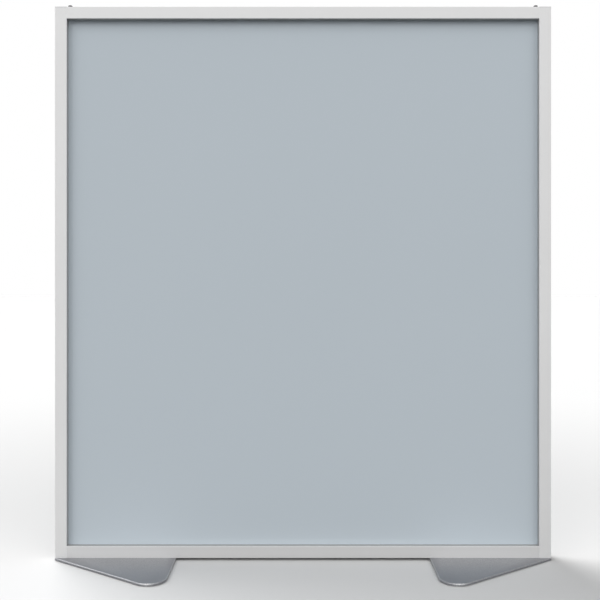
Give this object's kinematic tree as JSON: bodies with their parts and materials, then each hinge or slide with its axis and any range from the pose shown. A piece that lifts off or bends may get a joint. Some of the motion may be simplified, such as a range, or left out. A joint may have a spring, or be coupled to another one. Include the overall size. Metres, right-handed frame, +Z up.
{
  "type": "exhibition partition wall",
  "caption": "Free-standing partition wall: an aluminium frame round a plain infill board, on flat steel feet that taper to its ends, with hand knobs that lock the top rail.",
  "frame": {"origin": "on the floor under the middle of the wall", "axes": "+X along the wall, -Y towards the front face, +Z up"},
  "size_m": [1.8, 0.57, 2.023],
  "materials": {
    "extrusion": "satin natural anodised",
    "cap": "moulded, silver grey",
    "board": "fibreboard faced both sides with matt blue-grey laminate",
    "gasket": "matt black",
    "block": "mill, sawn ends",
    "zinc": "bright zinc plate",
    "plug": "moulded, grey",
    "knob": "moulded, black, fluted",
    "washer": "black oxide",
    "foot_steel": "brushed and clear lacquered",
    "pad_rubber": "matt black"
  },
  "bodies": {
    "frame": {"bottom_gasket": "gasket", "bottom_left_spigot": "block", "bottom_rail": "extrusion", "bottom_right_spigot": "block", "infill_board": "board", "left_access_plugs": "plug", "left_corner_screws": "zinc", "left_floor_pads": "pad_rubber", "left_foot_bolts": "zinc", "left_foot_plate": "foot_steel", "left_gasket": "gasket", "left_nut_block": "block", "left_stile": "extrusion", "left_stile_cap": "cap", "right_access_plugs": "plug", "right_corner_screws": "zinc", "right_floor_pads": "pad_rubber", "right_foot_bolts": "zinc", "right_foot_plate": "foot_steel", "right_gasket": "gasket", "right_nut_block": "block", "right_stile": "extrusion", "right_stile_cap": "cap", "top_gasket": "gasket", "top_left_spigot": "block", "top_rail": "extrusion", "top_right_spigot": "block"},
    "left_clamp_washer": {"left_washer": "washer"},
    "left_clamp_knob": {"left_knob": "knob", "left_stud": "zinc"},
    "right_clamp_washer": {"right_washer": "washer"},
    "right_clamp_knob": {"right_knob": "knob", "right_stud": "zinc"}
  },
  "joints": [
    {"name": "left_screw_lift", "type": "slide", "parent": "frame", "child": "left_clamp_washer", "axis": [0, 0, 1], "range_m": [0, 0.0025]},
    {"name": "left_knob_turn", "type": "hinge", "parent": "left_clamp_washer", "child": "left_clamp_knob", "pos_m": [-0.852, 0, 2.01], "axis": [0, 0, 1], "range_deg": [0, 720]},
    {"name": "right_screw_lift", "type": "slide", "parent": "frame", "child": "right_clamp_washer", "axis": [0, 0, 1], "range_m": [0, 0.0025]},
    {"name": "right_knob_turn", "type": "hinge", "parent": "right_clamp_washer", "child": "right_clamp_knob", "pos_m": [0.852, 0, 2.01], "axis": [0, 0, 1], "range_deg": [0, 720]}
  ],
  "couplings": [
    {"joint": "left_knob_turn", "follows": "left_screw_lift", "rad_per_m": 5026.5},
    {"joint": "right_knob_turn", "follows": "right_screw_lift", "rad_per_m": 5026.5}
  ]
}
